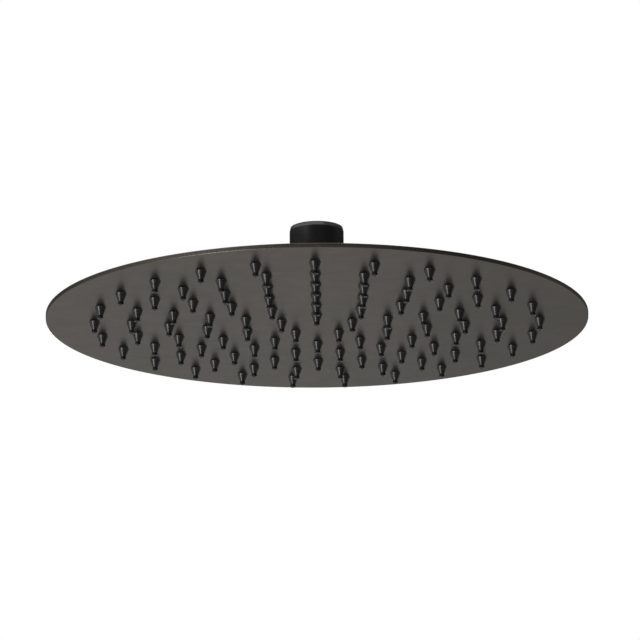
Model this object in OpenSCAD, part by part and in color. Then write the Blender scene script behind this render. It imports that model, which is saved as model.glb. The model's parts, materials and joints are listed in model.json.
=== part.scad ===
// Ultra-slim round rain shower head that hangs from a threaded inlet on a ball swivel.
// The origin is the centre of the inlet's mouth. Water runs down, towards -Z.

/* [Head] */
// Diameter of the head
head_d = 250; // [200:1:310]
// Thickness of each of the two steel sheets
sheet_t = 1; // [0.8:0.05:1.3]
// Rounding of the rim's two outer edges
rim_round = 0.35; // [0.1:0.05:0.5]
// Width of the flat lip where the two sheets are welded together
lip_w = 11; // [8:0.5:16]
// Width of the pressed step between the lip and the dome
step_w = 6; // [5:0.5:10]
// Clear height of the water chamber at the step
chamber_edge_h = 3.4; // [2.8:0.1:5]
// Clear height of the water chamber under the swivel
chamber_mid_h = 6; // [5:0.1:9]

/* [Nozzles] */
// Number of nozzles in each ring, from the middle outwards
ring_counts = [5, 10, 15, 20, 25, 25]; // [1:1:30]
// Diameter of the hole that a nozzle is pushed into
hole_d = 4; // [3:0.1:5]
// Free space left all round a nozzle's neck in its hole
neck_gap = 0.04; // [0.01:0.01:0.1]
// How far a nozzle's shoulder overlaps the face round its hole
shoulder_lap = 0.6; // [0.3:0.05:1]
// How far a nozzle's inner flange overlaps the sheet round its hole
flange_lap = 1.1; // [0.5:0.05:1.5]
// Thickness of a nozzle's inner flange
flange_t = 0.9; // [0.5:0.05:1.5]
// Length of a nozzle's tapered part below the face
cone_l = 3.7; // [2:0.1:6]
// Diameter of a nozzle at the narrow end of its taper
cone_end_d = 2.4; // [2:0.05:3]
// Length of a nozzle's tip
tip_l = 1.55; // [0.8:0.05:3]
// Diameter of the bead at a nozzle's tip
bead_d = 2.75; // [2.2:0.05:3.5]
// Diameter of the jet's outlet
jet_d = 1.1; // [0.8:0.05:1.4]
// Wall of a nozzle's tapered part
nozzle_wall = 0.65; // [0.4:0.05:0.9]
// Space between the outermost flanges and the step
edge_gap = 2.3; // [1:0.1:8]

/* [Inlet] */
// Bore of the inlet thread at its crests
thread_bore_d = 18.631; // [14:0.001:24]
// Depth from the mouth to the washer's seat
thread_depth = 10.5; // [8:0.5:16]
// Chamfer at the mouth of the thread
mouth_chamfer = 1.2; // [0.2:0.1:1.6]
// Wall of the socket outside the bore
socket_wall = 3.3; // [2.5:0.1:5]
// Height of the bevelled band round the socket's top
crown_h = 1.87; // [1:0.01:4]
// How far the bevelled band leans inwards
crown_in = 0.37; // [0.2:0.01:1]
// Height of the relief groove at the end of the thread
relief_h = 2.5; // [2:0.1:4]
// Depth of the relief groove behind the thread's crests
relief_depth = 1.2; // [0.8:0.1:1.6]
// Thickness of the inlet washer
washer_t = 2; // [1.5:0.1:2.4]
// How far the washer reaches into the relief groove
washer_lap = 0.3; // [0.1:0.05:0.5]
// Diameter of the pocket that holds the flow regulator
pocket_d = 12.3; // [10:0.1:14]
// Depth of that pocket
pocket_h = 4; // [3:0.1:6]
// Thickness of metal below that pocket
floor_t = 2; // [1.5:0.1:4]
// Pitch of the filter screen's holes
screen_pitch = 1.5; // [1.2:0.1:2.5]
// Diameter of the filter screen's holes
screen_hole_d = 1; // [0.5:0.1:1.1]
// Thickness of the filter screen
screen_t = 0.4; // [0.3:0.05:0.7]

/* [Flow regulator] */
// Thickness of the regulator's base
regulator_base_t = 1.2; // [0.8:0.1:1.6]
// Wall of the regulator's housing
regulator_wall = 0.9; // [0.5:0.1:1.2]
// Diameter of the regulator's post
post_d = 3.8; // [3:0.1:4.2]
// Thickness of the elastic ring's cord
cord_d = 1.6; // [1.2:0.1:1.8]
// Space between the post and the elastic ring
post_gap = 0.3; // [0.1:0.05:0.5]
// Number of holes through the regulator's base
regulator_holes = 8; // [6:1:8]
// Diameter of those holes
regulator_hole_d = 1.6; // [1:0.1:1.8]

/* [Ball swivel] */
// Diameter of the ball
ball_d = 17; // [15:0.1:22]
// Diameter of the neck above the ball
neck_d = 10; // [8.5:0.1:12]
// Diameter of the waterway through the neck and the ball
waterway_d = 6; // [4:0.1:7]
// Tilt of the swivel to each side, about each of two axes
tilt_max = 12; // [6:1:14]
// Free space between the swivel's round faces
swivel_gap = 0.15; // [0.05:0.01:0.3]
// Thickness of the slip ring
slip_t = 1.2; // [0.8:0.1:2]
// Space left where swivel parts pass each other at full tilt
pass_gap = 0.5; // [0.3:0.1:1.5]

/* [Stub and collar] */
// Wall of the stub outside the seal
stub_wall = 4.25; // [3:0.05:6]
// Free space round the stub's thread
thread_gap = 0.1; // [0.05:0.01:0.2]
// Wall of the collar outside its thread
collar_wall = 2.4; // [1.8:0.1:4]
// Depth of the two spanner flats on the collar
flat_depth = 1; // [0.5:0.1:1.2]
// Rounding of the collar's shoulder
collar_round = 2; // [1:0.1:3]
// Depth of the seal below the ball
seal_drop = 1.3; // [0.8:0.1:2.5]
// Height from the seal's shelf to the stub's foot
shelf_h = 3.2; // [2.6:0.1:6]
// Thickness of the stub's flange
foot_t = 2; // [1.5:0.1:2.5]
// How far the stub's flange stands out past the collar
foot_lap = 2; // [1:0.1:5]
// Leg of the weld bead round the flange
weld_leg = 0.8; // [0.4:0.1:1.5]
// Diameter of the spigot that locates the stub in the back plate
spigot_d = 16; // [13:0.1:20]
// Free space round the spigot
spigot_gap = 0.05; // [0.02:0.01:0.1]

/* [Hidden] */

gunmetal = "#55514d";
matt_black = "#262626";
silicone = "#1c1c1c";
polymer = "#d8d6d0";
seal_black = "#2c2c2e";
steel = "#a9a9a7";

// Cuts run this far past the faces they open
cut = 1;

// Swivel: radii of the nested round faces, all centred on the ball
ball_r = ball_d / 2;
slip_in_r = ball_r + swivel_gap;
slip_out_r = slip_in_r + slip_t;
seat_r = slip_out_r + swivel_gap;

// Swivel: heights are measured from the ball's centre.
// With both tilts at their limit the axis leans by tilt_all. The collar's mouth clears the
// neck by mouth_margin, and the slip ring stays inside that mouth by slip_margin, in degrees.
tilt_all = acos(pow(cos(tilt_max), 2));
mouth_margin = 6;
slip_margin = 1;
mouth_a = asin(neck_d / 2 / seat_r) + tilt_all + mouth_margin;
collar_top = seat_r * cos(mouth_a);
slip_top = slip_out_r * cos(mouth_a + tilt_max + slip_margin);
stub_top = -slip_out_r * sin(tilt_max) - pass_gap;
shelf_top = -ball_r - seal_drop;
foot_top = shelf_top - shelf_h + foot_t;
collar_foot = foot_top + pass_gap;

// Lowest height that the socket may reach at a radius, so that it passes over the collar
function underside(r) = (collar_top + pass_gap + r * sin(tilt_all)) / cos(tilt_all);

// Levels below the inlet's mouth, from the top down
pocket_r = pocket_d / 2;
pocket_floor_z = -thread_depth - pocket_h;
ball_z = pocket_floor_z - floor_t - underside(pocket_r);
back_top_z = ball_z + shelf_top - shelf_h;
face_top_z = back_top_z - sheet_t - chamber_mid_h;
face_z = face_top_z - sheet_t;

// Radii of the inlet
bore_r = thread_bore_d / 2;
socket_r = bore_r + socket_wall;
relief_r = bore_r + relief_depth;
washer_r = bore_r + washer_lap;
regulator_lap = 0.6;
washer_in_r = pocket_r - regulator_lap;
screen_r = (washer_r + washer_in_r) / 2;
screen_gap = 0.05;
screen_sink = 0.1;
screen_z = -thread_depth + washer_t - screen_t - screen_sink;

// Radii of the stub and the collar
seal_gap = 0.1;
seal_bore_r = slip_in_r + seal_gap;
waterway_swing = asin(waterway_d / ball_d) + tilt_all;
seal_in_r = ball_r * sin(waterway_swing) + seal_gap;
seal_lap = 0.3;
stub_way_r = seal_in_r - seal_lap;
stub_r = seal_bore_r + stub_wall;
collar_bore_r = stub_r + thread_gap;
collar_r = collar_bore_r + collar_wall;
foot_r = collar_r + foot_lap;

// Radii of the head
head_r = head_d / 2;
step_in_r = head_r - lip_w - step_w;
flat_margin = 3;
flat_r = foot_r + flat_margin;
hole_r = hole_d / 2;
flange_r = hole_r + flange_lap;
ring_pitch = (step_in_r - edge_gap - flange_r) / len(ring_counts);

// Radii of the flow regulator
regulator_gap = 0.1;
regulator_r = pocket_r - regulator_gap;
post_r = post_d / 2;
cord_r = cord_d / 2;

// Points of an arc in the plane of a profile
function arc(centre, r, from, to, steps = 8) =
    [for (i = [0:steps]) centre + r * [cos(from + (to - from) * i / steps),
                                       sin(from + (to - from) * i / steps)]];

// Angles of one ring's nozzles, the first of them straight in front
function ring_angles(k) = [for (i = [0:ring_counts[k - 1] - 1]) i * 360 / ring_counts[k - 1] - 90];

// Places children on every nozzle axis of one ring, at the face
module on_ring(k)
    for (a = ring_angles(k))
        rotate(a) translate([k * ring_pitch, 0, face_z]) children();

// Sheet with the nozzle holes, rounded at the lower edge of its rim
module face_plate()
    color(gunmetal)
    difference() {
        translate([0, 0, face_z])
            rotate_extrude($fn = 240)
                polygon(concat([[0, 0]],
                               arc([head_r - rim_round, rim_round], rim_round, -90, 0),
                               [[head_r, sheet_t], [0, sheet_t]]));
        for (k = [1:len(ring_counts)])
            on_ring(k)
                translate([0, 0, -cut]) cylinder(r = hole_r, h = sheet_t + 2 * cut, $fn = 32);
    }

// Middle line of the pressed step, from its top at u = 0 to the lip at u = 1
function step_point(u) = [step_in_r + step_w * u, chamber_edge_h * (1 + cos(180 * u)) / 2];
function step_slope(u) = -chamber_edge_h / step_w * PI / 2 * sin(180 * u);
function step_side(u, side) =
    step_point(u) + side * sheet_t / 2 * [-step_slope(u), 1] / norm([-step_slope(u), 1]);

// Pressed sheet: a flat middle for the stub, a shallow dome, the step and the flat lip
module back_plate() {
    steps = 10;
    half_t = sheet_t / 2;
    upper = [for (i = [0:steps]) step_side(i / steps, 1)];
    lower = [for (i = [steps:-1:0]) step_side(i / steps, -1)];
    hole = spigot_d / 2 + spigot_gap;
    color(gunmetal)
    translate([0, 0, face_top_z + half_t])
        rotate_extrude($fn = 240)
            polygon(concat([[hole, chamber_mid_h - half_t], [hole, chamber_mid_h + half_t],
                            [flat_r, chamber_mid_h + half_t]],
                           upper,
                           arc([head_r - rim_round, half_t - rim_round], rim_round, 90, 0),
                           [[head_r, -half_t]],
                           lower,
                           [[flat_r, chamber_mid_h - half_t]]));
}

// One soft nozzle, from its flange inside the chamber down to the bead at its tip.
// Its funnel narrows to the jet's outlet above the end of the taper.
module nozzle() {
    neck_r = hole_r - neck_gap;
    base_r = hole_r + shoulder_lap;
    end_r = cone_end_d / 2;
    bead_r = bead_d / 2;
    jet_r = jet_d / 2;
    tip_z = -cone_l - tip_l;
    edge = 0.15;
    bead_h = 0.7;
    shoulder_h = 0.35;
    flange_edge = 0.3;
    funnel_end = 0.6;
    top_z = sheet_t + flange_t;
    rotate_extrude($fn = 32)
        polygon(concat([[jet_r, tip_z], [bead_r - edge, tip_z], [bead_r, tip_z + edge],
                        [bead_r, tip_z + bead_h - edge], [end_r, tip_z + bead_h],
                        [end_r, -cone_l], [base_r - edge, -shoulder_h], [base_r, 0],
                        [neck_r, 0], [neck_r, sheet_t], [flange_r, sheet_t]],
                       arc([flange_r - flange_edge, top_z - flange_edge], flange_edge, 0, 90, 4),
                       [[neck_r - nozzle_wall, top_z],
                        [max(end_r - nozzle_wall, jet_r), funnel_end - cone_l],
                        [jet_r, funnel_end / 2 - cone_l]]));
}

// Soft nozzles of one ring
module nozzle_ring(k)
    color(silicone) on_ring(k) nozzle();

// Threaded stub that is welded to the back plate and holds the seal
module inlet_stub() {
    spigot_r = spigot_d / 2;
    spigot_out = 0.5;
    edge = 0.5;
    thread_edge = 0.8;
    relief = 0.9;
    foot_z = shelf_top - shelf_h;
    spigot_z = foot_z - sheet_t - spigot_out;
    color(matt_black)
    translate([0, 0, ball_z])
        rotate_extrude($fn = 96)
            polygon([[stub_way_r, spigot_z], [spigot_r - edge, spigot_z],
                     [spigot_r, spigot_z + edge], [spigot_r, foot_z],
                     [foot_r + weld_leg, foot_z], [foot_r, foot_z + weld_leg],
                     [foot_r, foot_top - edge], [foot_r - edge, foot_top],
                     [stub_r - relief, foot_top], [stub_r - relief, foot_top + relief],
                     [stub_r, foot_top + 2 * relief], [stub_r, stub_top - thread_edge],
                     [stub_r - thread_edge, stub_top], [seal_bore_r, stub_top],
                     [seal_bore_r, shelf_top], [stub_way_r, shelf_top]]);
}

// Collar that screws on the stub and holds the ball down through the slip ring
module collar_nut() {
    edge = 0.5;
    stop_gap = 0.15;
    inner_step = stub_top + stop_gap;
    flat_end = 1;
    flat_top = collar_top - collar_round - flat_end;
    color(matt_black)
    translate([0, 0, ball_z])
        difference() {
            rotate_extrude($fn = 96)
                polygon(concat([[collar_bore_r + edge, collar_foot], [collar_r - edge, collar_foot],
                                [collar_r, collar_foot + edge]],
                               arc([collar_r - collar_round, collar_top - collar_round],
                                   collar_round, 0, 90),
                               [[0, collar_top], [0, inner_step], [collar_bore_r, inner_step],
                                [collar_bore_r, collar_foot + edge]]));
            sphere(r = seat_r, $fn = 96);
            translate([0, 0, inner_step - cut])
                cylinder(r = seat_r, h = cut - inner_step, $fn = 96);
            for (turn = [0, 180])
                rotate(turn) translate([-collar_r, collar_r - flat_depth, collar_foot - cut])
                    cube([2 * collar_r, flat_depth + cut, flat_top - collar_foot + cut]);
        }
}

// Slip ring between the ball and the collar, a band cut from a round shell
module slip_ring()
    color(polymer)
    translate([0, 0, ball_z])
        difference() {
            intersection() {
                sphere(r = slip_out_r, $fn = 96);
                cylinder(r = slip_out_r + cut, h = slip_top, $fn = 96);
            }
            sphere(r = slip_in_r, $fn = 96);
        }

// Seal under the ball, with a hollow top that follows the ball and a relief groove below
module ball_seal() {
    outer_r = seal_bore_r - seal_gap;
    lip = 0.9;
    groove_in_r = seal_in_r + lip;
    groove_w = 0.8;
    groove_h = 0.7;
    rim = 0.9;
    top = -sqrt(pow(slip_in_r, 2) - pow(outer_r - rim, 2));
    color(seal_black)
    translate([0, 0, ball_z])
        difference() {
            rotate_extrude($fn = 96)
                polygon([[seal_in_r, shelf_top], [groove_in_r, shelf_top],
                         [groove_in_r + groove_w / 2, shelf_top + groove_h],
                         [groove_in_r + groove_w, shelf_top], [outer_r, shelf_top],
                         [outer_r, top], [seal_in_r, top]]);
            sphere(r = slip_in_r, $fn = 96);
        }
}

// Ball, neck and threaded socket, turned in one piece
module ball_inlet() {
    neck_r = neck_d / 2;
    edge = 0.15;
    color(matt_black)
    difference() {
        union() {
            translate([0, 0, ball_z]) sphere(r = ball_r, $fn = 96);
            rotate_extrude($fn = 96)
                polygon(concat([[0, ball_z], [neck_r, ball_z],
                                [neck_r, ball_z + underside(neck_r)],
                                [socket_r - 0.3, ball_z + underside(socket_r - 0.3)],
                                [socket_r, ball_z + underside(socket_r)],
                                [socket_r, -crown_h], [socket_r - crown_in, -edge],
                                [socket_r - crown_in - edge, 0], [0, 0]]));
        }
        rotate_extrude($fn = 96)
            polygon([[0, pocket_floor_z], [pocket_r, pocket_floor_z], [pocket_r, -thread_depth],
                     [relief_r, -thread_depth], [relief_r, relief_h - thread_depth],
                     [bore_r, relief_h - thread_depth], [bore_r, -mouth_chamfer],
                     [bore_r + mouth_chamfer, 0], [bore_r + mouth_chamfer, cut], [0, cut]]);
        translate([0, 0, ball_z - ball_r - cut])
            cylinder(d = waterway_d, h = ball_r + cut + pocket_floor_z - ball_z + cut, $fn = 48);
    }
}

// Washer on the seat, with a step in its upper face for the screen
module inlet_washer()
    color(seal_black)
    rotate_extrude($fn = 96)
        polygon([[washer_in_r, -thread_depth], [washer_r, -thread_depth],
                 [washer_r, -thread_depth + washer_t],
                 [screen_r + screen_gap, -thread_depth + washer_t],
                 [screen_r + screen_gap, screen_z], [washer_in_r, screen_z]]);

// Perforated disc that lies in the washer's step, its holes in a triangular grid
module filter_screen() {
    reach = floor((washer_in_r - screen_hole_d / 2) / screen_pitch);
    rows = ceil(reach / sin(60));
    color(steel)
    translate([0, 0, screen_z])
        linear_extrude(screen_t)
            difference() {
                circle(r = screen_r, $fn = 96);
                for (row = [-rows:rows], col = [-2 * reach:2 * reach]) {
                    place = screen_pitch * [col + row / 2, row * sin(60)];
                    if (norm(place) <= reach * screen_pitch)
                        translate(place) circle(d = screen_hole_d, $fn = 24);
                }
            }
}

// Housing of the flow regulator, with a ring of holes and a post for the elastic ring
module regulator_body() {
    inner_r = regulator_r - regulator_wall;
    hole_ring_r = (post_r + inner_r) / 2;
    rim_sink = 0.1;
    post_sink = 0.4;
    color(polymer)
    translate([0, 0, pocket_floor_z])
        difference() {
            cylinder(r = regulator_r, h = pocket_h - rim_sink, $fn = 72);
            translate([0, 0, regulator_base_t])
                difference() {
                    cylinder(r = inner_r, h = pocket_h, $fn = 72);
                    translate([0, 0, -cut])
                        cylinder(r = post_r, h = pocket_h - post_sink - regulator_base_t + cut,
                                 $fn = 48);
                }
            for (i = [0:regulator_holes - 1])
                rotate(i * 360 / regulator_holes) translate([hole_ring_r, 0, -cut])
                    cylinder(d = regulator_hole_d, h = regulator_base_t + 2 * cut, $fn = 24);
        }
}

// Elastic ring round the post, which narrows the holes as the pressure rises
module regulator_ring()
    color(seal_black)
    translate([0, 0, pocket_floor_z + regulator_base_t + cord_r])
        rotate_extrude($fn = 72)
            translate([post_r + post_gap + cord_r, 0]) circle(r = cord_r, $fn = 32);

face_plate();
back_plate();
nozzle_ring(1);  // nozzles_ring_1
nozzle_ring(2);  // nozzles_ring_2
nozzle_ring(3);  // nozzles_ring_3
nozzle_ring(4);  // nozzles_ring_4
nozzle_ring(5);  // nozzles_ring_5
nozzle_ring(6);  // nozzles_ring_6
inlet_stub();
collar_nut();
slip_ring();
ball_seal();
ball_inlet();
inlet_washer();
filter_screen();
regulator_body();
regulator_ring();
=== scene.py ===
import json
import math

import bpy
from mathutils import Matrix, Vector


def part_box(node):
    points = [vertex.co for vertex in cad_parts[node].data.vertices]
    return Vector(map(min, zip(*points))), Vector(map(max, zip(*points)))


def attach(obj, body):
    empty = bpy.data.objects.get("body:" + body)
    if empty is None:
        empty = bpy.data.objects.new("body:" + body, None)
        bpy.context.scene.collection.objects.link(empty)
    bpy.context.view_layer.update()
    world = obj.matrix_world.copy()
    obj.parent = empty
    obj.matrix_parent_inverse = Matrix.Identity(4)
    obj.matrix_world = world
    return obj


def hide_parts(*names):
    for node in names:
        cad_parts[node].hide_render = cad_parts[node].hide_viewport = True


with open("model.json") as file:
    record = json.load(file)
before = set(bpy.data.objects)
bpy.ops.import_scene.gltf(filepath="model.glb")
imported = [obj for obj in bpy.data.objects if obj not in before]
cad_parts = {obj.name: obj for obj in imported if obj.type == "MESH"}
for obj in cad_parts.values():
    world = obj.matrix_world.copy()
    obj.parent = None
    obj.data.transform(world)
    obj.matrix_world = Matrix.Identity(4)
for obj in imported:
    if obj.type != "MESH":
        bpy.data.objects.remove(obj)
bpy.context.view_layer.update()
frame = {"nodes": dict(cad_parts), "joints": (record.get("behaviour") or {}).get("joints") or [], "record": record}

# The head's sizes are in millimetres, and MM brings them to the scene's metres.
# Heights are measured from the inlet's mouth, or from the ball's centre where a name says so.
MM = 0.001
face_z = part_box("face_plate")[0].z / MM
face_top_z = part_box("face_plate")[1].z / MM
head_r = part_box("face_plate")[1].x / MM
back_top_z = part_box("back_plate")[1].z / MM
ball_z = frame["joints"][0]["pos_m"][2] / MM
tilt_max = frame["joints"][0]["range_deg"][1]
inlet = frame["record"]["mounts"][0]
bore_r = inlet["dims"]["r_mm"]
mouth_chamfer = -inlet["pos_m"][2] / MM
thread_end_z = -mouth_chamfer - inlet["dims"]["length_mm"]
sheet_t = face_top_z - face_z

# Nozzles, ring by ring from the middle outwards
ring_counts = [5, 10, 15, 20, 25, 25]
ring_pitch = 17.1

# Ball swivel
ball_r = 8.5
neck_r = 5
waterway_r = 3
socket_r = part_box("ball_inlet")[1].x / MM
collar_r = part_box("collar_nut")[1].x / MM
collar_top_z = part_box("collar_nut")[1].z / MM
collar_foot_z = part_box("collar_nut")[0].z / MM
stub_foot_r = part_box("inlet_stub")[1].x / MM
stub_foot_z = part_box("inlet_stub")[0].z / MM
stub_top_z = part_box("inlet_stub")[1].z / MM

# Inlet thread, G 1/2
thread_pitch = 25.4 / 14
thread_depth = 0.6403 * thread_pitch
flank_lean = math.tan(math.radians(27.5))


def rounded(corners, steps=4):
    """Points of a closed outline whose corners, each (radius, height, rounding), become arcs."""
    points = []
    for i, (radius, height, rounding) in enumerate(corners):
        corner = Vector((radius, height))
        if rounding == 0:
            points.append(corner)
            continue
        before = (Vector(corners[i - 1][:2]) - corner).normalized()
        after = (Vector(corners[(i + 1) % len(corners)][:2]) - corner).normalized()
        half = before.angle(after) / 2
        centre = corner + (before + after).normalized() * rounding / math.sin(half)
        start = corner + before * rounding / math.tan(half) - centre
        end = corner + after * rounding / math.tan(half) - centre
        sweep = math.atan2(start.x * end.y - start.y * end.x, start.dot(end))
        for k in range(steps + 1):
            a = math.atan2(start.y, start.x) + sweep * k / steps
            points.append(centre + rounding * Vector((math.cos(a), math.sin(a))))
    return points


def arc(centre_z, radius, start, end, steps):
    """Points of an arc round a centre on the axis, between two angles in degrees."""
    angles = [math.radians(start + (end - start) * k / steps) for k in range(steps + 1)]
    return [Vector((radius * math.cos(a), centre_z + radius * math.sin(a))) for a in angles]


def drawn(name, outline):
    """A closed outline in the XZ plane, drawn by extruding one point from place to place."""
    bpy.ops.object.select_all(action="DESELECT")
    bpy.ops.mesh.primitive_plane_add(size=MM)
    piece = bpy.context.object
    piece.name = name
    bpy.ops.object.mode_set(mode="EDIT")
    bpy.ops.mesh.merge(type="CENTER")
    bpy.ops.transform.translate(value=(outline[0].x * MM, 0, outline[0].y * MM))
    for here, there in zip(outline, outline[1:] + outline[:1]):
        step = (there - here) * MM
        bpy.ops.mesh.extrude_vertices_move(TRANSFORM_OT_translate={"value": (step.x, 0, step.y)})
    bpy.ops.mesh.select_all(action="SELECT")
    bpy.ops.mesh.remove_doubles(threshold=0.0001 * MM)
    bpy.ops.object.mode_set(mode="OBJECT")
    return piece


def turned(name, outline, steps):
    """A turned piece: a closed outline of (radius, height) points, spun round the axis."""
    piece = drawn(name, outline)
    bpy.ops.object.mode_set(mode="EDIT")
    bpy.ops.mesh.select_all(action="SELECT")
    bpy.ops.mesh.spin(steps=steps, angle=math.tau, center=(0, 0, 0), axis=(0, 0, 1))
    bpy.ops.mesh.select_all(action="SELECT")
    bpy.ops.mesh.remove_doubles(threshold=0.001 * MM)
    bpy.ops.mesh.normals_make_consistent(inside=False)
    bpy.ops.object.mode_set(mode="OBJECT")
    return piece


def cut_away(piece, cutter):
    """Takes the cutter's shape out of a piece."""
    cut = piece.modifiers.new("cut", "BOOLEAN")
    cut.operation = "DIFFERENCE"
    cut.solver = "EXACT"
    cut.object = cutter
    bpy.ops.object.select_all(action="DESELECT")
    bpy.context.view_layer.objects.active = piece
    bpy.ops.object.modifier_apply(modifier=cut.name)
    bpy.data.objects.remove(cutter)


def joined(name, pieces):
    """Several meshes made one piece."""
    bpy.ops.object.select_all(action="DESELECT")
    for piece in pieces:
        piece.select_set(True)
    bpy.context.view_layer.objects.active = pieces[0]
    bpy.ops.object.join()
    pieces[0].name = name
    return pieces[0]


def finish(piece, body, slot, material, *nodes, sharp=35):
    """Smooths a piece up to its creases, gives it its material and puts it in the frame."""
    bpy.ops.object.select_all(action="DESELECT")
    piece.select_set(True)
    bpy.context.view_layer.objects.active = piece
    bpy.ops.object.shade_smooth_by_angle(angle=math.radians(sharp))
    piece.data.materials.clear()
    piece.data.materials.append(material)
    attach(piece, body)
    if nodes:
        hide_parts(*nodes)


def linear(colour):
    """Linear RGBA of an sRGB hex colour such as #55504b."""
    parts = [int(colour[i:i + 2], 16) / 255 for i in (1, 3, 5)]
    return [c / 12.92 if c <= 0.04045 else ((c + 0.055) / 1.055) ** 2.4 for c in parts] + [1]


def add(tree, kind, inputs=None, **settings):
    """A node with its settings, its values and its links."""
    made = tree.nodes.new("ShaderNode" + kind)
    for name, value in settings.items():
        setattr(made, name, value)
    for name, value in (inputs or {}).items():
        if isinstance(value, bpy.types.NodeSocket):
            tree.links.new(value, made.inputs[name])
        else:
            made.inputs[name].default_value = value
    return made


def dress(tree, shader, colour, gloss, relief):
    """Links a colour, a roughness and a relief to the shader."""
    tree.links.new(colour.outputs[2], shader.inputs["Base Color"])
    tree.links.new(gloss.outputs[0], shader.inputs["Roughness"])
    tree.links.new(relief.outputs[0], shader.inputs["Normal"])


def new_material(name):
    """An empty material, its node tree, its shader and its object coordinates."""
    material = bpy.data.materials.new(name)
    material.use_nodes = True
    tree = material.node_tree
    tree.nodes.clear()
    shader = add(tree, "BsdfPrincipled")
    add(tree, "OutputMaterial", {"Surface": shader.outputs[0]})
    place = add(tree, "TexCoord").outputs["Object"]
    return material, tree, shader, place


def satin_coated_steel():
    """Stainless steel, ground to a fine satin and coated dark in a vacuum chamber.
    The coat's thickness drifts, which tints it faintly warm and green in hand-sized patches,
    and the satin blurs what it mirrors."""
    material, tree, shader, place = new_material("satin_coated_steel")
    patch = 45
    haze = 7
    grain = 0.5
    drift = add(tree, "TexNoise", {"Vector": place, "Scale": 1 / (patch * MM), "Detail": 2.0})
    tint = add(tree, "MapRange", {"Value": drift.outputs[0], "From Min": 0.38, "From Max": 0.62})
    colour = add(tree, "Mix", {0: tint.outputs[0], 6: linear("#595651"), 7: linear("#5b5752")},
                 data_type="RGBA")
    wear = add(tree, "TexNoise", {"Vector": place, "Scale": 1 / (haze * MM), "Detail": 3.0})
    gloss = add(tree, "MapRange", {"Value": wear.outputs[0], "From Min": 0.3, "From Max": 0.7,
                                   "To Min": 0.33, "To Max": 0.37})
    satin = add(tree, "TexNoise", {"Vector": place, "Scale": 1 / (grain * MM), "Detail": 1.0})
    relief = add(tree, "Bump", {"Height": satin.outputs[0], "Strength": 0.03,
                                "Distance": 0.02 * MM})
    dress(tree, shader, colour, gloss, relief)
    shader.inputs["Metallic"].default_value = 1
    shader.inputs["Specular Tint"].default_value = (0.5, 0.5, 0.5, 1)
    return material


def black_coated_brass():
    """Brass, turned on a lathe and coated near black in a vacuum chamber. The coat is a ceramic
    that mirrors dimly, as a dark metal does, and shows a little of its own black. It is smoother
    than the disc, with faint rings left by the tool, drawn wider apart than they are so that they
    show."""
    material, tree, shader, place = new_material("black_coated_brass")
    tool_mark = 0.35
    haze = 6
    parts = add(tree, "SeparateXYZ", {0: place})
    across = add(tree, "CombineXYZ", {0: parts.outputs[0], 1: parts.outputs[1]})
    radius = add(tree, "VectorMath", {0: across.outputs[0]}, operation="LENGTH")
    profile = add(tree, "CombineXYZ", {0: radius.outputs["Value"], 2: parts.outputs[2]})
    rings = add(tree, "TexNoise", {"Vector": profile.outputs[0], "Scale": 1 / (tool_mark * MM),
                                   "Detail": 1.0})
    relief = add(tree, "Bump", {"Height": rings.outputs[0], "Strength": 0.06,
                                "Distance": 0.02 * MM})
    drift = add(tree, "TexNoise", {"Vector": place, "Scale": 1 / (haze * MM), "Detail": 3.0})
    gloss = add(tree, "MapRange", {"Value": drift.outputs[0], "From Min": 0.3, "From Max": 0.7,
                                   "To Min": 0.2, "To Max": 0.26})
    colour = add(tree, "Mix", {0: drift.outputs[0], 6: linear("#393939"), 7: linear("#3e3d3c")},
                 data_type="RGBA")
    dress(tree, shader, colour, gloss, relief)
    shader.inputs["Metallic"].default_value = 0.75
    shader.inputs["Specular IOR Level"].default_value = 0
    shader.inputs["Specular Tint"].default_value = (0.45, 0.45, 0.45, 1)
    return material


def moulded_silicone():
    """Silicone rubber, moulded in polished cavities: black, smooth and a little glossy."""
    material, tree, shader, place = new_material("moulded_silicone")
    flow = 2
    cloud = add(tree, "TexNoise", {"Vector": place, "Scale": 1 / (flow * MM), "Detail": 2.0})
    colour = add(tree, "Mix", {0: cloud.outputs[0], 6: linear("#242423"), 7: linear("#292827")},
                 data_type="RGBA")
    gloss = add(tree, "MapRange", {"Value": cloud.outputs[0], "From Min": 0.3, "From Max": 0.7,
                                   "To Min": 0.24, "To Max": 0.3})
    relief = add(tree, "Bump", {"Height": cloud.outputs[0], "Strength": 0.02,
                                "Distance": 0.01 * MM})
    dress(tree, shader, colour, gloss, relief)
    shader.inputs["IOR"].default_value = 1.41
    return material


def seal_rubber():
    """Nitrile rubber, pressed in a mould: black with a grey bloom and a fine dull grain."""
    material, tree, shader, place = new_material("seal_rubber")
    grain = 0.4
    bloom = 3
    bumps = add(tree, "TexNoise", {"Vector": place, "Scale": 1 / (grain * MM), "Detail": 3.0})
    relief = add(tree, "Bump", {"Height": bumps.outputs[0], "Strength": 0.4,
                                "Distance": 0.03 * MM})
    patches = add(tree, "TexNoise", {"Vector": place, "Scale": 1 / (bloom * MM), "Detail": 4.0})
    colour = add(tree, "Mix", {0: patches.outputs[0], 6: linear("#1b1b1c"), 7: linear("#2a2a2b")},
                 data_type="RGBA")
    gloss = add(tree, "MapRange", {"Value": patches.outputs[0], "To Min": 0.6, "To Max": 0.75})
    dress(tree, shader, colour, gloss, relief)
    return material


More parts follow.
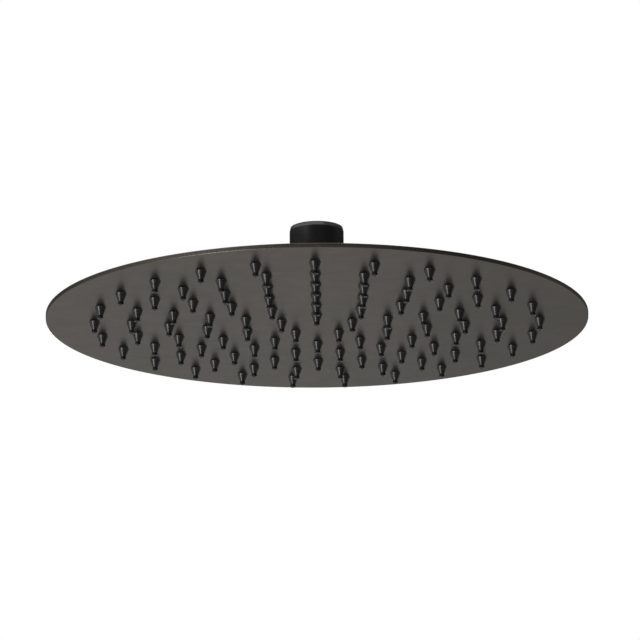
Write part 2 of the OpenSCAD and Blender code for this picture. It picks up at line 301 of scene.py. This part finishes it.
def moulded_acetal():
    """Acetal plastic, injection moulded in its natural milky white, with a slippery dull shine."""
    material, tree, shader, place = new_material("moulded_acetal")
    grain = 0.3
    cloud = 4
    bumps = add(tree, "TexNoise", {"Vector": place, "Scale": 1 / (grain * MM), "Detail": 2.0})
    relief = add(tree, "Bump", {"Height": bumps.outputs[0], "Strength": 0.15,
                                "Distance": 0.02 * MM})
    patches = add(tree, "TexNoise", {"Vector": place, "Scale": 1 / (cloud * MM), "Detail": 2.0})
    colour = add(tree, "Mix", {0: patches.outputs[0], 6: linear("#dad7cf"), 7: linear("#e3e1da")},
                 data_type="RGBA")
    gloss = add(tree, "MapRange", {"Value": patches.outputs[0], "To Min": 0.38, "To Max": 0.48})
    dress(tree, shader, colour, gloss, relief)
    return material


def etched_steel():
    """Stainless steel sheet with etched holes: bare, with fine straight lines left by the
    rolling mill."""
    material, tree, shader, place = new_material("etched_steel")
    line = 0.25
    stretch = 30
    along = add(tree, "Mapping", {"Vector": place, "Scale": (1, 1 / stretch, 1)})
    lines = add(tree, "TexNoise", {"Vector": along.outputs[0], "Scale": 1 / (line * MM),
                                   "Detail": 2.0})
    colour = add(tree, "Mix", {0: lines.outputs[0], 6: linear("#a3a29e"), 7: linear("#bdbcb8")},
                 data_type="RGBA")
    gloss = add(tree, "MapRange", {"Value": lines.outputs[0], "To Min": 0.25, "To Max": 0.4})
    relief = add(tree, "Bump", {"Height": lines.outputs[0], "Strength": 0.2,
                                "Distance": 0.01 * MM})
    dress(tree, shader, colour, gloss, relief)
    shader.inputs["Metallic"].default_value = 1
    return material


coated_steel = satin_coated_steel()
coated_brass = black_coated_brass()
silicone = moulded_silicone()
rubber = seal_rubber()
acetal = moulded_acetal()
screen_steel = etched_steel()

# Pieces that keep their CAD shape
for node, material in (("face_plate", coated_steel), ("slip_ring", acetal), ("ball_seal", rubber),
                       ("inlet_washer", rubber), ("filter_screen", screen_steel),
                       ("regulator_body", acetal), ("regulator_ring", rubber)):
    frame["nodes"][node].data.materials.clear()
    frame["nodes"][node].data.materials.append(material)


def nozzle():
    """One soft nozzle, from its flange behind the sheet down to the bead round its dished end.
    Its heights are measured from the face."""
    tip_z = -5.25
    jet_r = 0.55
    funnel_r = 1.31
    funnel_foot_z = -3.1
    dish_r = 1.24
    dish_top_z = tip_z + 0.55
    bead_r = 1.375
    bead_top_z = tip_z + 0.65
    tip_r = 1.2
    tip_foot_z = tip_z + 0.8
    cone_end_z = -3.7
    cone_r = 2.45
    cone_top_z = -0.35
    base_r = 2.6
    stem_r = 1.96
    flange_r = 3.1
    flange_top_z = sheet_t + 0.9
    corners = [(jet_r, dish_top_z, 0.1), (dish_r, tip_z, 0.05), (bead_r, tip_z, 0.07),
               (bead_r, bead_top_z, 0.12), (tip_r, tip_foot_z, 0.06), (tip_r, cone_end_z, 0.5),
               (cone_r, cone_top_z, 0.08), (base_r, 0, 0), (stem_r, 0, 0), (stem_r, sheet_t, 0),
               (flange_r, sheet_t, 0), (flange_r, flange_top_z, 0.3),
               (funnel_r, flange_top_z, 0.1), (jet_r, funnel_foot_z, 0)]
    return turned("nozzle", rounded(corners, 3), 28)


def nozzle_rings():
    """The nozzle copied to every hole, each ring made one piece."""
    first = nozzle()
    for ring, count in enumerate(ring_counts, 1):
        copies = []
        for i in range(count):
            copy = first.copy()
            copy.data = first.data.copy()
            bpy.context.scene.collection.objects.link(copy)
            turn = Matrix.Rotation(math.radians(i * 360 / count - 90), 4, "Z")
            shift = Matrix.Translation((ring * ring_pitch * MM, 0, face_z * MM))
            copy.data.transform(turn @ shift)
            copies.append(copy)
        rows = joined(f"soft_nozzles_{ring}", copies)
        finish(rows, "head", "silicone", silicone, f"nozzles_ring_{ring}")
    bpy.data.objects.remove(first)


def back_shell():
    """Pressed sheet: a flat round the stub, a shallow dome, a soft step and the welded lip."""
    hole_r = 8.05
    flat_r = 20.5
    lip_in_r = head_r - 11
    rim_in_r = head_r - 2
    step_w = 6
    step_in_r = lip_in_r - step_w
    step_rise = 3.4
    middle_z = face_top_z + sheet_t / 2
    steps = 24

    def side(u, up):
        """A point of the step, half a sheet above or below its middle line."""
        slope = -step_rise / step_w * math.pi / 2 * math.sin(math.pi * u)
        lift = Vector((-slope, 1)).normalized() * up * sheet_t / 2
        rise = step_rise * (1 + math.cos(math.pi * u)) / 2
        return Vector((step_in_r + step_w * u, middle_z + rise)) + lift

    upper = [side(k / steps, 1) for k in range(steps + 1)]
    lower = [side(k / steps, -1) for k in range(steps, -1, -1)]
    rim_top_z = middle_z + sheet_t / 2
    rim_foot_z = middle_z - sheet_t / 2
    rim = rounded([(rim_in_r, rim_top_z, 0), (head_r, rim_top_z, 0.12),
                   (head_r, rim_foot_z, 0.05), (rim_in_r, rim_foot_z, 0)], 6)
    edge = rounded([(flat_r, back_top_z - sheet_t, 0), (hole_r, back_top_z - sheet_t, 0.1),
                    (hole_r, back_top_z, 0.1), (flat_r, back_top_z, 0)])
    shell = turned("back_shell", edge + upper + rim + lower, 256)
    finish(shell, "head", "back_metal", coated_steel, "back_plate")


def swivel_inlet():
    """Ball, neck and threaded socket, turned from one bar, with the thread cut last."""
    crown_h = 1.87
    crown_in = 0.37
    relief_r = bore_r + 1.2
    seat_z = -10.5
    pocket_r = 6.15
    pocket_z = -14.5
    lean = math.acos(math.cos(math.radians(tilt_max)) ** 2)
    pass_gap = 0.5

    def underside(radius):
        """Lowest height at which the socket passes over the collar at full tilt."""
        height = collar_top_z - ball_z + pass_gap + radius * math.sin(lean)
        return ball_z + height / math.cos(lean)

    foot_angle = math.degrees(math.acos(waterway_r / ball_r))
    neck_angle = math.degrees(math.acos(neck_r / ball_r))
    ball = arc(ball_z, ball_r, -foot_angle, neck_angle, 40)
    body = rounded([(neck_r, ball[-1].y, 0), (neck_r, underside(neck_r), 0.6),
                    (socket_r, underside(socket_r), 0.3), (socket_r, -crown_h, 0.08),
                    (socket_r - crown_in, 0, 0.15), (bore_r + mouth_chamfer, 0, 0.06),
                    (bore_r, -mouth_chamfer, 0.06), (bore_r, thread_end_z, 0.05),
                    (relief_r, thread_end_z, 0.05), (relief_r, seat_z, 0.1),
                    (pocket_r, seat_z, 0.1), (pocket_r, pocket_z, 0.1),
                    (waterway_r, pocket_z, 0.2), (waterway_r, ball[0].y, 0)])
    piece = turned("swivel_inlet", ball + body[1:-1], 128)

    # Thread: a groove wound down from above the mouth into the relief
    root_w = thread_pitch / 6
    reach = 0.2
    mouth_w = root_w + 2 * flank_lean * (thread_depth + reach)
    turns = 6
    wind_steps = 96
    start_z = 0.53 * thread_pitch
    groove = [Vector((bore_r - reach, start_z - mouth_w / 2)),
              Vector((bore_r + thread_depth, start_z - root_w / 2)),
              Vector((bore_r + thread_depth, start_z + root_w / 2)),
              Vector((bore_r - reach, start_z + mouth_w / 2))]
    cutter = drawn("thread_cutter", groove)
    wind = cutter.modifiers.new("wind", "SCREW")
    wind.axis = "Z"
    wind.angle = math.tau
    wind.screw_offset = -thread_pitch * MM
    wind.iterations = turns
    wind.steps = wind_steps
    wind.render_steps = wind_steps
    bpy.ops.object.modifier_apply(modifier=wind.name)
    bpy.ops.object.mode_set(mode="EDIT")
    bpy.ops.mesh.select_all(action="SELECT")
    bpy.ops.mesh.remove_doubles(threshold=0.001 * MM)
    bpy.ops.mesh.fill_holes(sides=0)
    bpy.ops.mesh.select_all(action="SELECT")
    bpy.ops.mesh.normals_make_consistent(inside=False)
    bpy.ops.object.mode_set(mode="OBJECT")
    cut_away(piece, cutter)
    # The cut leaves edges too short to see, which this takes out
    bpy.ops.object.mode_set(mode="EDIT")
    bpy.ops.mesh.select_all(action="SELECT")
    bpy.ops.mesh.dissolve_degenerate(threshold=0.002 * MM)
    bpy.ops.object.mode_set(mode="OBJECT")
    finish(piece, "inlet", "swivel_metal", coated_brass, "ball_inlet", sharp=25)


def collar():
    """Collar nut with a rounded shoulder, a hollow seat and two spanner flats."""
    seat_r = 10
    inner_r = 13.1
    inner_z = stub_top_z + 0.15
    flat_y = collar_r - 1
    flat_top_z = collar_top_z - 3
    block_t = 4
    past_foot = 2
    mouth = math.degrees(math.asin((collar_top_z - ball_z) / seat_r))
    seat = arc(ball_z, seat_r, mouth, 0, 16)
    shell = rounded([(seat_r, inner_z, 0.1), (inner_r, inner_z, 0.2), (inner_r, collar_foot_z, 0.3),
                     (collar_r, collar_foot_z, 0.4), (collar_r, collar_top_z, 2),
                     (seat[0].x, collar_top_z, 0)], 8)
    piece = turned("collar", seat[1:] + shell, 128)
    for side in (1, -1):
        bpy.ops.object.select_all(action="DESELECT")
        height = flat_top_z - collar_foot_z + past_foot
        middle = Vector((0, side * (flat_y + block_t / 2), flat_top_z - height / 2))
        bpy.ops.mesh.primitive_cube_add(size=MM, location=middle * MM)
        bpy.ops.transform.resize(value=(2 * collar_r, block_t, height))
        cut_away(piece, bpy.context.object)
    finish(piece, "head", "swivel_metal", coated_brass, "collar_nut")


def welded_stub():
    """Stub with its flange, its thread relief and the shelf that the seal lies on."""
    way_r = 4.983
    spigot_r = 8
    seal_r = 8.75
    shelf_z = ball_z - 9.8
    weld = 0.8
    flange_r = stub_foot_r - weld
    flange_top_z = back_top_z + 2
    stub_r = 13
    relief = 0.9
    chamfer = 0.8
    corners = [(way_r, stub_foot_z, 0.1), (spigot_r, stub_foot_z, 0.4), (spigot_r, back_top_z, 0),
               (flange_r + weld, back_top_z, 0), (flange_r + 0.1, back_top_z + weld, 0.4),
               (flange_r, flange_top_z, 0.4), (stub_r - relief, flange_top_z, 0.2),
               (stub_r - relief, flange_top_z + relief, 0.1),
               (stub_r, flange_top_z + 2 * relief, 0.1), (stub_r, stub_top_z - chamfer, 0.1),
               (stub_r - chamfer, stub_top_z, 0.1), (seal_r, stub_top_z, 0.1),
               (seal_r, shelf_z, 0.1), (way_r, shelf_z, 0.1)]
    piece = turned("welded_stub", rounded(corners), 128)
    finish(piece, "head", "swivel_metal", coated_brass, "inlet_stub")


def weld_bead():
    """Weld between the stub's flange and the back shell, laid in a row of small round puddles."""
    puddles = 84
    bead_r = 0.75
    bead_sides = 12
    ring_r = stub_foot_r - 0.6
    swell = [0.88, 0.97, 1.02, 0.97, 0.88]
    step = math.tau / puddles / (len(swell) - 1)
    bpy.ops.object.select_all(action="DESELECT")
    bpy.ops.mesh.primitive_circle_add(vertices=bead_sides, radius=bead_r * swell[0] * MM,
                                      location=(ring_r * MM, 0, back_top_z * MM),
                                      rotation=(math.pi / 2, 0, 0))
    bead = bpy.context.object
    bead.name = "weld_bead"
    bpy.ops.object.transform_apply(location=True, rotation=True, scale=True)
    bpy.ops.object.mode_set(mode="EDIT")
    for k, (here, there) in enumerate(zip(swell, swell[1:]), 1):
        middle = Vector((math.cos(k * step), math.sin(k * step), 0)) * ring_r * MM
        middle.z = back_top_z * MM
        bpy.ops.mesh.extrude_region_move()
        bpy.ops.transform.rotate(value=-step, orient_axis="Z", center_override=(0, 0, 0))
        bpy.ops.transform.resize(value=[there / here] * 3, center_override=middle)
    bpy.ops.mesh.select_all(action="SELECT")
    bpy.ops.mesh.spin(steps=puddles - 1, angle=math.tau * (puddles - 1) / puddles, dupli=True,
                      center=(0, 0, 0), axis=(0, 0, 1))
    bpy.ops.mesh.select_all(action="SELECT")
    bpy.ops.mesh.remove_doubles(threshold=0.001 * MM)
    bpy.ops.mesh.normals_make_consistent(inside=False)
    bpy.ops.object.mode_set(mode="OBJECT")
    finish(bead, "head", "back_metal", coated_steel)


nozzle_rings()
back_shell()
weld_bead()
swivel_inlet()
collar()
welded_stub()

# Studio sizes are in metres. The floor lies as far down as a shower tray, so that the camera
# can look up from any side.
floor_z = -2.1
floor_size = 60


def add_glow(tree, shader, share, strength):
    """Mixes a share of white glow into a material's surface."""
    glow = add(tree, "Emission", {"Color": linear("#ffffff"), "Strength": strength})
    mixed = add(tree, "MixShader", {0: share, 1: shader.outputs[0], 2: glow.outputs[0]})
    output = [n for n in tree.nodes if n.type == "OUTPUT_MATERIAL"][0]
    tree.links.new(mixed.outputs[0], output.inputs["Surface"])


def floor():
    """Pale seamless floor. It shows almost white to the camera and in reflections."""
    glow_share = 0.85
    bpy.ops.object.select_all(action="DESELECT")
    bpy.ops.mesh.primitive_plane_add(size=floor_size, location=(0, 0, floor_z))
    plane = bpy.context.object
    plane.name = "floor"
    material, tree, shader, _ = new_material("pale_floor")
    shader.inputs["Base Color"].default_value = linear("#eceae6")
    shader.inputs["Roughness"].default_value = 0.8
    path = add(tree, "LightPath")
    seen = add(tree, "Math", {0: path.outputs["Is Camera Ray"], 1: path.outputs["Is Glossy Ray"]},
               operation="MAXIMUM")
    share = add(tree, "Math", {0: seen.outputs[0], 1: glow_share}, operation="MULTIPLY")
    add_glow(tree, shader, share.outputs[0], 1.0)
    plane.data.materials.append(material)


def reflection_glow_cloth():
    """Cloth hung round the head, as in a studio, to keep its dark sides dark. The cloth is black, and in
    reflections alone it glows grey, a painted reflection that fades to near black in front on the right, where a
    taller panel also hides the floor and the lowest of the sky."""
    ring_r = 2.6
    low, high = -0.45, 0.95
    panel_drop = 1.3
    panel_rise = 0.6
    panel_from, panel_to = -30, 110
    grey_glow, dark_glow = 0.25, 0.07
    dim_glow_side = Vector((0.54, -0.84, 0))
    bpy.ops.object.select_all(action="DESELECT")
    bpy.ops.mesh.primitive_cylinder_add(vertices=96, radius=ring_r, depth=high - low,
                                        location=(0, 0, (high + low) / 2), end_fill_type="NOTHING")
    cloth = bpy.context.object
    cloth.name = "reflection_glow_cloth"
    for top, reach in ((True, panel_rise), (False, -panel_drop)):
        bpy.ops.object.mode_set(mode="EDIT")
        bpy.ops.mesh.select_mode(type="EDGE")
        bpy.ops.mesh.select_all(action="DESELECT")
        bpy.ops.object.mode_set(mode="OBJECT")
        for edge in cloth.data.edges:
            ends = [cloth.data.vertices[v].co for v in edge.vertices]
            middle = (ends[0] + ends[1]) / 2
            azimuth = math.degrees(math.atan2(middle.x, -middle.y))
            level = abs(ends[0].z - ends[1].z) < 0.01 and (middle.z > 0) == top
            edge.select = level and panel_from < azimuth < panel_to
        bpy.ops.object.mode_set(mode="EDIT")
        bpy.ops.mesh.extrude_region_move(TRANSFORM_OT_translate={"value": (0, 0, reach)})
        bpy.ops.object.mode_set(mode="OBJECT")

    material, tree, shader, place = new_material("reflection_glow_cloth")
    shader.inputs["Base Color"].default_value = linear("#0b0b0b")
    shader.inputs["Roughness"].default_value = 0.9
    # Painted reflection: a glow that only reflected rays see, grey on most sides and dimming to near black towards
    # the front right
    along = add(tree, "VectorMath", {0: place, 1: dim_glow_side}, operation="DOT_PRODUCT")
    grey = add(tree, "MapRange", {"Value": along.outputs["Value"], "From Min": 0.3 * ring_r,
                                  "From Max": 0.85 * ring_r, "To Min": grey_glow,
                                  "To Max": dark_glow})
    path = add(tree, "LightPath")
    add_glow(tree, shader, path.outputs["Is Glossy Ray"], grey.outputs[0])
    cloth.data.materials.append(material)
    cloth.visible_camera = False


def softbox(name, azimuth, elevation, distance, width, height, power):
    """A rectangular soft lamp that faces the head. Azimuth 0 is in front, 90 to the right.
    Distances are in metres and the power is in watts."""
    data = bpy.data.lights.new(name, "AREA")
    data.shape = "RECTANGLE"
    data.size = width
    data.size_y = height
    data.energy = power
    lamp = bpy.data.objects.new(name, data)
    a, e = math.radians(azimuth), math.radians(elevation)
    away = Vector((math.sin(a) * math.cos(e), -math.cos(a) * math.cos(e), math.sin(e)))
    lamp.location = Vector((0, 0, face_z * MM)) + distance * away
    lamp.rotation_euler = away.to_track_quat("Z", "Y").to_euler()
    lamp.visible_camera = False
    bpy.context.scene.collection.objects.link(lamp)


def white_world():
    """White to the camera and in reflections, and a dim plain light on everything."""
    world = bpy.data.worlds.new("white_world")
    bpy.context.scene.world = world
    world.use_nodes = True
    tree = world.node_tree
    tree.nodes.clear()
    path = add(tree, "LightPath")
    direct = add(tree, "Math", {0: path.outputs["Is Camera Ray"], 1: path.outputs["Is Glossy Ray"]},
                 operation="MAXIMUM")
    seen = add(tree, "Math", {0: direct.outputs[0], 1: path.outputs["Is Transmission Ray"]},
               operation="MAXIMUM")
    strength = add(tree, "MapRange", {"Value": seen.outputs[0], "To Min": 0.6, "To Max": 1.0})
    sky = add(tree, "Background", {"Color": linear("#ffffff"), "Strength": strength.outputs[0]})
    add(tree, "OutputWorld", {"Surface": sky.outputs[0]})


floor()
reflection_glow_cloth()
softbox("low_left", -42, -28, 1.9, 0.7, 1.0, 18)
softbox("top_front", -10, 48, 2.0, 2.4, 1.1, 14)
softbox("back_left", -168, -20, 2.3, 1.2, 0.5, 1.4)
softbox("high_left", -85, 36, 1.4, 2.2, 0.5, 6)
white_world()
bpy.context.scene.view_settings.view_transform = "Standard"

# Camera, fitted to the photo: it stands in front of the head and below it, and looks up
camera_azimuth = 0.43
camera_distance = 1322.3 * MM
camera_elevation = 14.93
camera_pan = 0.0605
camera_tilt = 15.01
camera_roll = -0.322
camera_lens = 160.85


def camera():
    """The photo's camera, aimed by its pan, tilt and roll."""
    data = bpy.data.cameras.new("camera")
    data.lens = camera_lens
    data.sensor_width = 36
    eye = bpy.data.objects.new("camera", data)
    bpy.context.scene.collection.objects.link(eye)
    bpy.context.scene.camera = eye
    e = math.radians(camera_elevation)
    place = Vector((0, -math.cos(e), -math.sin(e))) * camera_distance
    place.z += face_z * MM
    pan, tilt, roll = (math.radians(v) for v in (camera_pan, camera_tilt, camera_roll))
    ahead = Vector((math.sin(pan) * math.cos(tilt), math.cos(pan) * math.cos(tilt), math.sin(tilt)))
    right = Vector((math.cos(pan), -math.sin(pan), 0))
    up = right.cross(ahead)
    across = math.cos(roll) * right + math.sin(roll) * up
    upward = math.cos(roll) * up - math.sin(roll) * right
    aim = Matrix((across, upward, -ahead)).transposed().to_4x4()
    turn = Matrix.Rotation(math.radians(camera_azimuth), 4, "Z")
    eye.matrix_world = turn @ Matrix.Translation(place) @ aim


camera()
